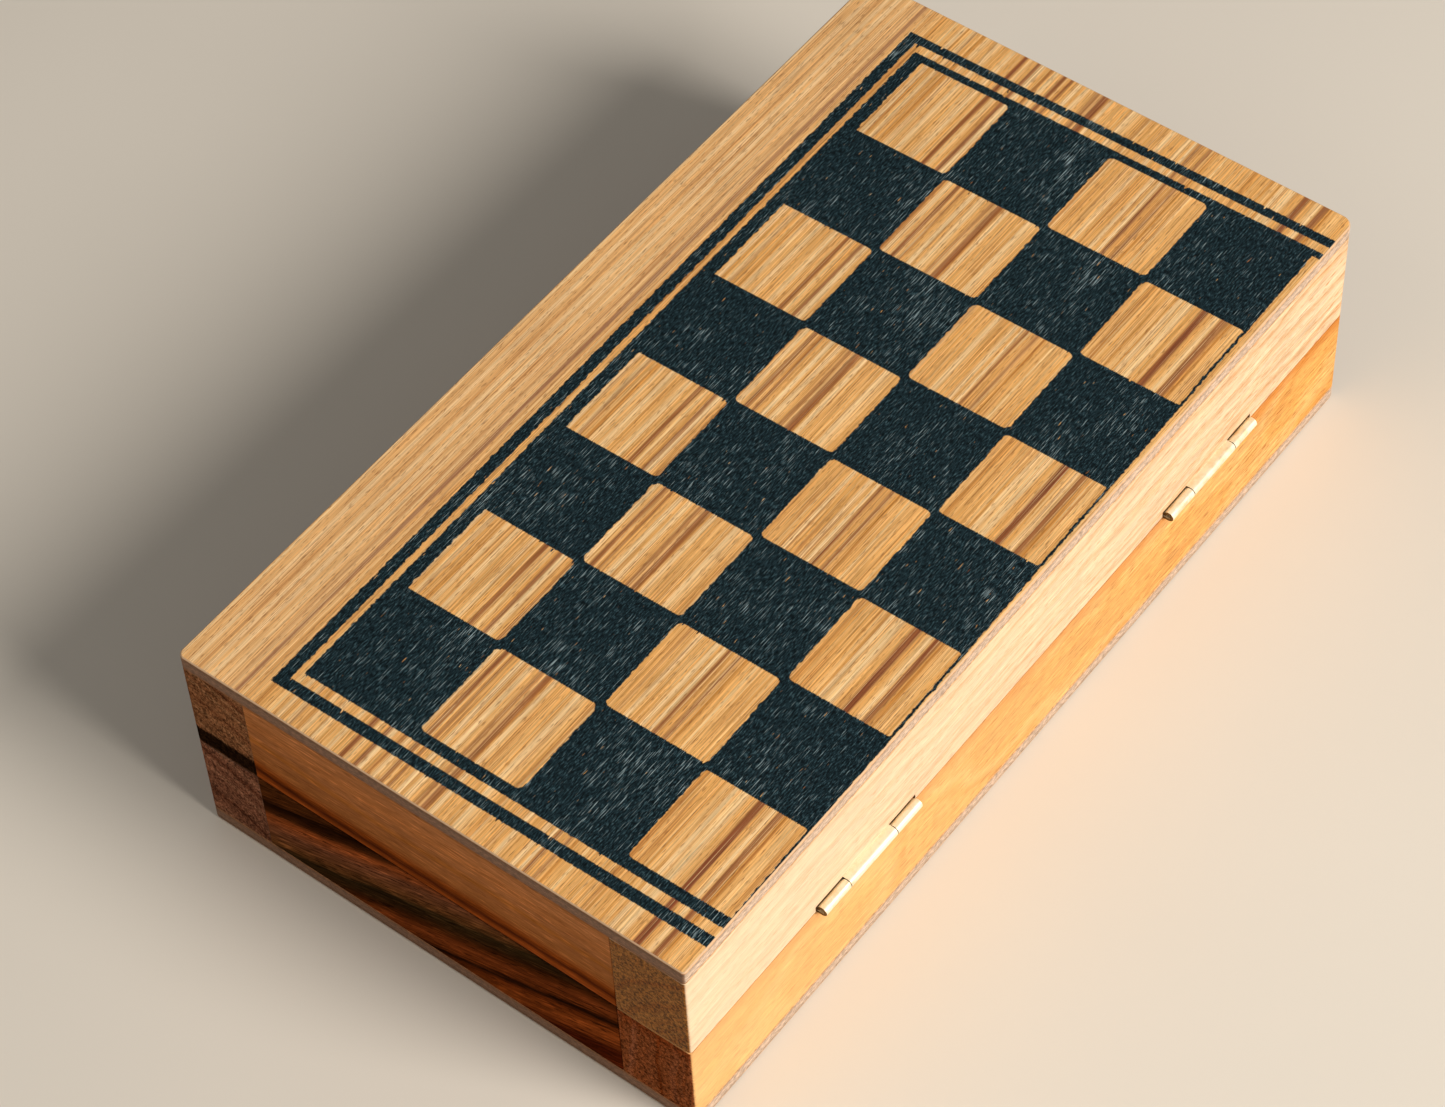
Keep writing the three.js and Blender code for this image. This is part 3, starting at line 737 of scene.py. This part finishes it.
def makePanel(name, node, body, sheet):
    low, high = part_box(node)
    piece = addBlock(name, low, high)
    outer, inner = (high.z, low.z) if sheet["outward"] > 0 else (low.z, high.z)
    for corner, radius in cornerRadii.items():
        roundEdges(piece, radius * mm, 8, lambda edge: (
            edgeRuns(edge, 2) and isCorner(edge, corner, low, high)))
    roundEdges(piece, panelWork["arris"] * mm, 4, lambda edge: all(
        abs(vertex.co.z - outer) < 1e-6 for vertex in edge.verts))
    roundEdges(piece, panelWork["innerBreak"] * mm, 1, lambda edge: all(
        abs(vertex.co.z - inner) < 1e-6 for vertex in edge.verts))
    for face in piece.data.polygons:       # print and arris outside, layered edge, plain ply inside
        facing = face.normal.z * sheet["outward"]
        face.material_index = 0 if facing > 0.2 else (2 if facing < -0.9 else 1)
    finishPiece(piece, node, body, [
        printedVeneer(name + "PrintedVeneer", sheet),
        plyEdge(name + "PlyEdge", dict(panelEdge, outer=outer, inner=inner)),
        sandedWood(name + "InnerVeneer", innerPly)])


makePanel("lidPanel", "lid_panel", "lid", lidSheet)
makePanel("basePanel", "base_panel", "base", baseSheet)
print("panels made")


# pith moves the grain: the middle of the log lies that far, in mm, to the other side of the box's
# middle. turn is in degrees, ringSpacing, wander and feather are in mm, and the rest are strengths
# the end tint darkens the end grain, and on the rails' end faces it is partly painted shade
paleRail = {        # a pale close-grained wood, plain sawn and oiled
    "roughness": 0.5, "sheen": 0.05,
    "pith": (0, 95, 30), "turn": (0, 0, 0.4), "grainAxis": (1, 0, 0),
    "wander": 8.0, "ringSpacing": 1.6, "feather": 2.0, "fibre": 0.34, "patch": 0.06,
    "pores": 0.75, "flecks": 0.12,
    "ringColours": [(0.3, "CE9C6C"), (0.45, "DFBF9A"), (0.7, "E6CCAE")],
    # painted light: the rail is painted paler towards its left end
    "poreColour": "C07A40", "endGrainAndShadeTint": "A07A46", "paintedLight": ("E4CEB2", 0.6),
}
warmRail = {        # a more orange board of that kind, with a broad band of painted shadow along it under the seam
    "roughness": 0.5, "sheen": 0.0,
    "pith": (0, 90, -18), "turn": (0, 0, -0.5), "grainAxis": (1, 0, 0),
    "wander": 9.0, "ringSpacing": 2.4, "feather": 2.0, "fibre": 0.4, "patch": 0.1,
    "pores": 0.75, "flecks": 0.25,
    "ringColours": [(0.3, "C27C38"), (0.48, "DAA05A"), (0.7, "E6B476")],
    # painted light: this rail too is painted paler towards its left end
    "poreColour": "9C5426", "endGrainAndShadeTint": "9C7A80", "paintedLight": ("E8BE88", 0.6),
    # painted shadow: a darker reddish band just under the seam
    "bandAndPaintedShade": (21.2, 3.4, 0.8, "BC6C2A", 0.6),
}
lidFrontWood = {    # brown, with a nearly black band of heartwood along the rim
    "roughness": 0.6, "sheen": 0.0,
    "pith": (0, -62, 6), "turn": (0, 0, 0), "grainAxis": (1, 0, 0),
    "wander": 4.0, "ringSpacing": 2.0, "feather": 1.2, "fibre": 0.22, "patch": 0.15,
    "pores": 0.4, "flecks": 0.5,
    "ringColours": [(0.3, "7C5034"), (0.5, "9E704C"), (0.7, "B48A62")],
    "poreColour": "4E2C18", "endGrainAndShadeTint": "CEC2C0",
    "bandAndPaintedShade": (23.6, 2.4, 0.3, "0E0704", 0.94),
}
baseFrontWood = {   # a darker, greyer brown, and plain
    "roughness": 0.6, "sheen": 0.0,
    "pith": (0, -70, 40), "turn": (0, 0, 0), "grainAxis": (1, 0, 0),
    "wander": 7.0, "ringSpacing": 2.5, "feather": 1.2, "fibre": 0.24, "patch": 0.2,
    "pores": 0.4, "flecks": 0.5,
    "ringColours": [(0.3, "6C4634"), (0.5, "8C6450"), (0.7, "A47C64")],
    "poreColour": "2E1810", "endGrainAndShadeTint": "D8C6BC",
}
lightEnd = {        # light orange-brown, its grain across the box, redder towards the rim
    "roughness": 0.55, "sheen": 0.0,
    "pith": (0, 0, -2.2), "turn": (0, 0, -90), "grainAxis": (0, 1, 0),
    "wander": 3.6, "feather": 1.4, "fibre": 0.3, "patch": 0.14, "pores": 0.4, "flecks": 0.45,
    "streaks": [
        (21.0, "84401E"), (22.6, "94481A"), (24.0, "50220E"), (25.4, "8E4618"),
        (27.5, "A86838"), (30.4, "A6683C"), (31.5, "AE6A32"), (33.2, "AC6E42"),
        (36.0, "B87442"), (39.0, "BE7C4C"), (42.0, "B07042")],
    "poreColour": "6E3818", "endGrainAndShadeTint": "907058",
}
darkEnd = {         # dark heartwood with red streaks that climb towards the hinges
    "roughness": 0.55, "sheen": 0.0,
    "pith": (0, 0, -2.8), "turn": (17.5, 0, -90), "grainAxis": (0, 1, 0),
    "wander": 4.6, "feather": 2.4, "fibre": 0.6, "patch": 0.3, "pores": 0.75, "flecks": 0.7,
    "streaks": [
        (-9.0, "66280E"), (-3.0, "4E1C0A"), (0.9, "964A1E"), (3.6, "743614"),
        (5.0, "1C0E06"), (6.2, "663012"), (8.5, "743818"), (10.6, "4A240C"),
        (12.2, "36210F"), (14.4, "3A2A16"), (16.0, "6E4424"), (19.5, "7E4C32"),
        (22.4, "9C5026"), (24.0, "4A2610"), (26.2, "200F06"), (27.6, "542C12"),
        (34.0, "64381A")],
    "poreColour": "180A04", "endGrainAndShadeTint": "806450",
}
boards = [
    # piece, node, body, slot, wood
    ("lidHingeRail", "lid_hinge_rail", "lid", "pale_rail", paleRail),
    ("lidFrontRail", "lid_front_rail", "lid", "pale_rail", lidFrontWood),
    ("lidLeftEnd", "lid_left_end", "lid", "light_end", lightEnd),
    ("lidRightEnd", "lid_right_end", "lid", "light_end", lightEnd),
    ("baseHingeRail", "base_hinge_rail", "base", "warm_rail", warmRail),
    ("baseFrontRail", "base_front_rail", "base", "warm_rail", baseFrontWood),
    ("baseLeftEnd", "base_left_end", "base", "dark_end", darkEnd),
    ("baseRightEnd", "base_right_end", "base", "dark_end", darkEnd),
]
boardWork = {"rimBreak": 0.2, "jointBreak": 0.12}     # mm
hingeFit = {        # mm
    "mortiseClearance": 0.5, "holeRadius": 0.65, "holeDepth": 8.0,
    "nailSpacing": 15.0, "nailRow": 5.6,
}
screwFit = {"radius": 1.08, "depth": 9.1}
plankStep = (140, 0, 0)      # mm along the plank from one end board to the next
overcut = 0.001              # metres that a cutter starts outside what it cuts

pinLine = Vector(next(j["pos_m"] for j in frame["joints"] if j["name"] == "lid_fold"))
hingeNames = ("left", "right")


def cutHingeSeats(piece, low, high, up):
    # a mortise for each leaf, open at the side and the rim, and a hole for each of its nails
    for side in hingeNames:
        leafLow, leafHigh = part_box(side + "_hinge_lid_leaf")
        clearance = hingeFit["mortiseClearance"] * mm
        floorHeight = leafHigh.z if up > 0 else 2 * pinLine.z - leafHigh.z
        start = Vector((leafLow.x - clearance, low.y - 10 * overcut, floorHeight))
        end = Vector((
            leafHigh.x + clearance, leafHigh.y + clearance, floorHeight - up * 10 * overcut))
        cutWith(piece, addBlock(
            "mortiseCutter", Vector(map(min, start, end)), Vector(map(max, start, end))))
        middle = (leafLow.x + leafHigh.x) / 2
        for offset in (-0.5, 0.5):
            at = Vector((middle + offset * hingeFit["nailSpacing"] * mm,
                         pinLine.y + hingeFit["nailRow"] * mm, floorHeight - up * overcut))
            cutWith(piece, addRod("drill", at, (0, 0, up), hingeFit["holeRadius"] * mm,
                                  hingeFit["holeDepth"] * mm + overcut, 24))


def makeBoard(name, node, body, slot, wood):
    low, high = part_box(node)
    piece = addBlock(name, low, high)
    rim = low.z if body == "lid" else high.z      # where the trays meet
    if node.endswith("rail"):
        for corner, radius in cornerRadii.items():
            if corner[1] == (-1 if "hinge" in node else 1):
                roundEdges(piece, radius * mm, 8, lambda edge: (
                    edgeRuns(edge, 2) and isCorner(edge, corner, low, high)))
    roundEdges(piece, boardWork["rimBreak"] * mm, 2, lambda edge: all(
        abs(vertex.co.z - rim) < 1e-6 for vertex in edge.verts))
    roundEdges(piece, boardWork["jointBreak"] * mm, 1, lambda edge: (
        edge.calc_face_angle(0) > 1.2 and abs(edgeMiddle(edge).z - rim) > 1 * mm))
    if "hinge" in node:
        cutHingeSeats(piece, low, high, 1 if body == "lid" else -1)
    if "front" in node:
        screwLow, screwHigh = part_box("hook_screw" if body == "lid" else "catch_screw")
        middle = (screwLow + screwHigh) / 2
        cutWith(piece, addRod("drill", (middle.x, high.y + overcut, middle.z), (0, -1, 0),
                              screwFit["radius"] * mm, screwFit["depth"] * mm + overcut, 24))
    if node.endswith("right_end"):      # the right end comes from further along the plank
        wood = dict(wood, pith=Vector(wood["pith"]) + Vector(plankStep))
    finishPiece(piece, node, body, [sandedWood(name + "Wood", wood)])


for board in boards:
    makeBoard(*board)
print("frame boards made")


leafWork = {        # mm, and degrees of roll
    "thickness": 0.5, "plateStart": 1.1, "middleKnuckle": 12.0, "knuckleGap": 0.15,
    "rollTurn": 285, "rollSteps": 44, "edgeBreak": 0.05, "sinkRadius": 1.15, "holeRadius": 0.65,
}
# lineScale is how many drawing lines there are to a metre along x, y and z
rolledBrass = {     # brass sheet rolled round the pin and barrelled bright
    "roughness": 0.45, "metallic": 0.55, "bright": "FFF6E0", "dull": "DDBB70",
    # the dark cut colour is partly painted shade between the knuckles and at the barrel's ends
    "lineScale": (600, 9000, 9000), "cutAxis": "X", "cut": "6A5226",
    "brightTo": pinLine.y + leafWork["plateStart"] * mm,
}
drawnBrass = {      # wire for nails and screws, headed and tumbled
    "roughness": 0.32, "metallic": 1.0, "bright": "E6C67E", "dull": "B99B5A",
    "lineScale": (4000, 4000, 4000), "cutAxis": "X", "cut": "CDB070",
}
drawnSteel = {      # darkened wire, cut off square
    "roughness": 0.45, "metallic": 1.0, "bright": "6E6A66", "dull": "3C3836",
    "lineScale": (900, 9000, 9000), "cutAxis": "X", "cut": "241C18",
}
hingeBrass = sheetMetal("rolledBrass", rolledBrass)
nailBrass = sheetMetal("drawnBrass", drawnBrass)
pinSteel = sheetMetal("drawnSteelWire", drawnSteel)


def makeLeaf(name, node, body, up, knuckles):
    # a plate whose front edge is pulled out over the pin and rolled round it
    low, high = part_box(node)
    barrel = (high.z - low.z) / 2
    faceZ = pinLine.z + up * barrel
    backZ = faceZ - up * leafWork["thickness"] * mm
    start = pinLine.y + leafWork["plateStart"] * mm
    piece = addBlock(name, (low.x, start, min(faceZ, backZ)), (high.x, high.y, max(faceZ, backZ)))
    middle = (low.x + high.x) / 2
    for offset in sorted({x for knuckle in knuckles for x in knuckle}):
        if abs(offset) * mm < (high.x - low.x) / 2 - 1e-6:
            editPick(piece, "FACE", lambda face: True)
            bpy.ops.mesh.bisect(plane_co=(middle + offset * mm, 0, 0), plane_no=(1, 0, 0))
            bpy.ops.object.mode_set(mode="OBJECT")

    def isFront(face):
        x = (face.calc_center_median().x - middle) / mm
        return face.normal.y < -0.9 and any(a < x < b for a, b in knuckles)

    editPick(piece, "FACE", isFront)
    bpy.ops.mesh.extrude_region_move(
        TRANSFORM_OT_translate={"value": (0, -leafWork["plateStart"] * mm, 0)})
    bpy.ops.mesh.spin(
        steps=leafWork["rollSteps"], angle=-up * math.radians(leafWork["rollTurn"]),
        center=(middle, pinLine.y, pinLine.z), axis=(1, 0, 0))
    bpy.ops.mesh.select_all(action="SELECT")
    bpy.ops.mesh.remove_doubles(threshold=1e-7)
    bpy.ops.mesh.normals_make_consistent(inside=False)
    bpy.ops.object.mode_set(mode="OBJECT")
    for offset in (-0.5, 0.5):      # a countersunk hole for each nail
        x = middle + offset * hingeFit["nailSpacing"] * mm
        y = pinLine.y + hingeFit["nailRow"] * mm
        cutWith(piece, addRod("drill", (x, y, backZ - up * overcut), (0, 0, up),
                              leafWork["holeRadius"] * mm, 3 * overcut))
        deselectAll()
        bpy.ops.mesh.primitive_cone_add(
            vertices=32, radius1=leafWork["sinkRadius"] * mm, radius2=leafWork["holeRadius"] * mm,
            depth=leafWork["thickness"] * mm, location=(x, y, (faceZ + backZ) / 2),
            rotation=(0 if up > 0 else math.pi, 0, 0))
        cutWith(piece, keepPlace(bpy.context.object))
    applyModifier(piece, "edges", "BEVEL", width=leafWork["edgeBreak"] * mm, segments=2,
                  limit_method="ANGLE", angle_limit=math.radians(50))
    finishPiece(piece, node, body, [hingeBrass])


nailWork = {        # mm, and what is left of the width at the head's rim and at the point
    "radius": 0.6, "headRadius": 1.1, "headDepth": 0.5, "headRim": 0.06, "headInset": 0.25,
    "rimTaper": 0.95, "point": 1.2, "pointTaper": 0.12,
}


def makeNail(name, node, body, up):
    # the head is flush in the leaf, then a straight shank and a point
    low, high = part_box(node)
    middle = (low + high) / 2
    head = low.z if up > 0 else high.z
    shankTop = head + up * nailWork["headDepth"] * mm
    length = high.z - low.z - (nailWork["headDepth"] + nailWork["point"]) * mm
    piece = addRod(
        name, (middle.x, middle.y, shankTop), (0, 0, up), nailWork["radius"] * mm, length, 24)

    def pullOut(rise, scale):
        # the picked end is pulled out along the nail and made wider or narrower
        bpy.ops.mesh.extrude_region_move(TRANSFORM_OT_translate={"value": (0, 0, rise * mm)})
        bpy.ops.transform.resize(
            value=(scale, scale, 1), center_override=(middle.x, middle.y, 0))

    editPick(piece, "FACE", lambda face: face.normal.z * up < -0.9)
    pullOut(-up * (nailWork["headDepth"] - nailWork["headRim"]),
            nailWork["headRadius"] / nailWork["radius"])
    pullOut(-up * nailWork["headRim"], nailWork["rimTaper"])
    bpy.ops.mesh.inset(thickness=nailWork["headInset"] * mm)
    bpy.ops.object.mode_set(mode="OBJECT")
    editPick(piece, "FACE", lambda face: face.normal.z * up > 0.9 and len(face.verts) > 8)
    pullOut(up * nailWork["point"], nailWork["pointTaper"])
    bpy.ops.object.mode_set(mode="OBJECT")
    finishPiece(piece, node, body, [nailBrass])


def makePin(name, node):
    # cut wire with its ends rounded over by a third of its radius
    low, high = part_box(node)
    radius = (high.z - low.z) / 2
    piece = addRod(name, (low.x, pinLine.y, pinLine.z), (1, 0, 0), radius, high.x - low.x)
    roundEdges(piece, radius * 0.3, 3, lambda edge: not edgeRuns(edge, 0))
    finishPiece(piece, node, "base", [pinSteel])


halfMiddle = leafWork["middleKnuckle"] / 2
outerStart = halfMiddle + leafWork["knuckleGap"]
for side in hingeNames:
    leafLow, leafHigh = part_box(side + "_hinge_lid_leaf")
    halfLength = (leafHigh.x - leafLow.x) / 2 / mm
    makeLeaf(side + "HingeLidLeaf", side + "_hinge_lid_leaf", "lid", 1, [
        (-halfMiddle, halfMiddle)])
    makeLeaf(side + "HingeBaseLeaf", side + "_hinge_base_leaf", "base", -1, [
        (-halfLength, -outerStart), (outerStart, halfLength)])
    for number in ("1", "2"):
        makeNail(side + "HingeLidNail" + number, side + "_hinge_lid_nail_" + number, "lid", 1)
        makeNail(side + "HingeBaseNail" + number, side + "_hinge_base_nail_" + number, "base", -1)
    makePin(side + "HingePin", side + "_hinge_pin")
print("hinges made")


tumbledBrass = {    # stamped from sheet and tumbled, so its edges are soft
    "roughness": 0.28, "metallic": 1.0, "bright": "EACB84", "dull": "BF9F5E",
    "lineScale": (3000, 3000, 3000), "cutAxis": "Z", "cut": "CFAE68",
}
hookBrass = sheetMetal("tumbledBrass", tumbledBrass)
hookBreak = 0.22          # mm

hookPiece = bpy.data.objects.new("hookPlate", frame["nodes"]["hook"].data.copy())
scene.collection.objects.link(hookPiece)
hookPiece.data.materials.clear()
editPick(hookPiece, "FACE", lambda face: True)
bpy.ops.mesh.remove_doubles(threshold=1e-6)
bpy.ops.mesh.dissolve_limited(angle_limit=math.radians(1))
bpy.ops.object.mode_set(mode="OBJECT")
applyModifier(hookPiece, "edges", "BEVEL", width=hookBreak * mm, segments=3,
              limit_method="ANGLE", angle_limit=math.radians(50))
finishPiece(hookPiece, "hook", "hook", [hookBrass])

screwWork = {       # mm; the head's rim is upright for a fifth of its height, then domed
    "headRadius": 2.1, "headHeight": 1.2, "rimPart": 0.2, "domeSteps": 6, "shank": 1.0,
    "slotWidth": 0.5, "slotDepth": 0.55, "slotReach": 3.0,
    "slotTurns": {"lid": 25, "base": -50},      # degrees, as the screws came to rest
}


def makeScrew(name, node, body):
    # a shank into the rail, and a slotted round head turned up from it in steps
    low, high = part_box(node)
    x, z = (low.x + high.x) / 2, (low.z + high.z) / 2
    headBase = high.y - screwWork["headHeight"] * mm
    shank = screwWork["shank"] * mm
    tip = 2 * shank
    piece = addRod(name, (x, low.y + tip, z), (0, 1, 0), shank, headBase - low.y - tip)

    def pullOut(rise, scale):
        # the picked end is pulled out along the screw and made wider or narrower
        bpy.ops.mesh.extrude_region_move(TRANSFORM_OT_translate={"value": (0, rise, 0)})
        bpy.ops.transform.resize(value=(scale, 1, scale), center_override=(x, headBase, z))

    editPick(piece, "FACE", lambda face: face.normal.y < -0.9)
    pullOut(-tip, 0.1)
    bpy.ops.object.mode_set(mode="OBJECT")
    editPick(piece, "FACE", lambda face: face.normal.y > 0.9)
    rim = screwWork["headHeight"] * mm * screwWork["rimPart"]
    dome = screwWork["headHeight"] * mm - rim
    pullOut(0, screwWork["headRadius"] * mm / shank)
    pullOut(rim, 1)
    size, rise = 1.0, 0.0
    for step in range(1, screwWork["domeSteps"] + 1):
        turn = math.pi / 2 * step / (screwWork["domeSteps"] + 0.6)      # the top stays a small flat
        pullOut((math.sin(turn) - rise) * dome, math.cos(turn) / size)
        size, rise = math.cos(turn), math.sin(turn)
    bpy.ops.object.mode_set(mode="OBJECT")
    slotHalf, slotReach = screwWork["slotWidth"] * mm / 2, screwWork["slotReach"] * mm
    slotTurn = math.radians(screwWork["slotTurns"][body])
    cutter = addBlock(
        "slotCutter", (-slotReach, high.y - screwWork["slotDepth"] * mm, -slotHalf),
        (slotReach, high.y + overcut, slotHalf))
    cutter.matrix_world = Matrix.Translation((x, 0, z)) @ Matrix.Rotation(slotTurn, 4, "Y")
    cutWith(piece, keepPlace(cutter))
    finishPiece(piece, node, body, [nailBrass])


makeScrew("hookScrew", "hook_screw", "lid")
makeScrew("catchScrew", "catch_screw", "base")
print("hook and screws made")
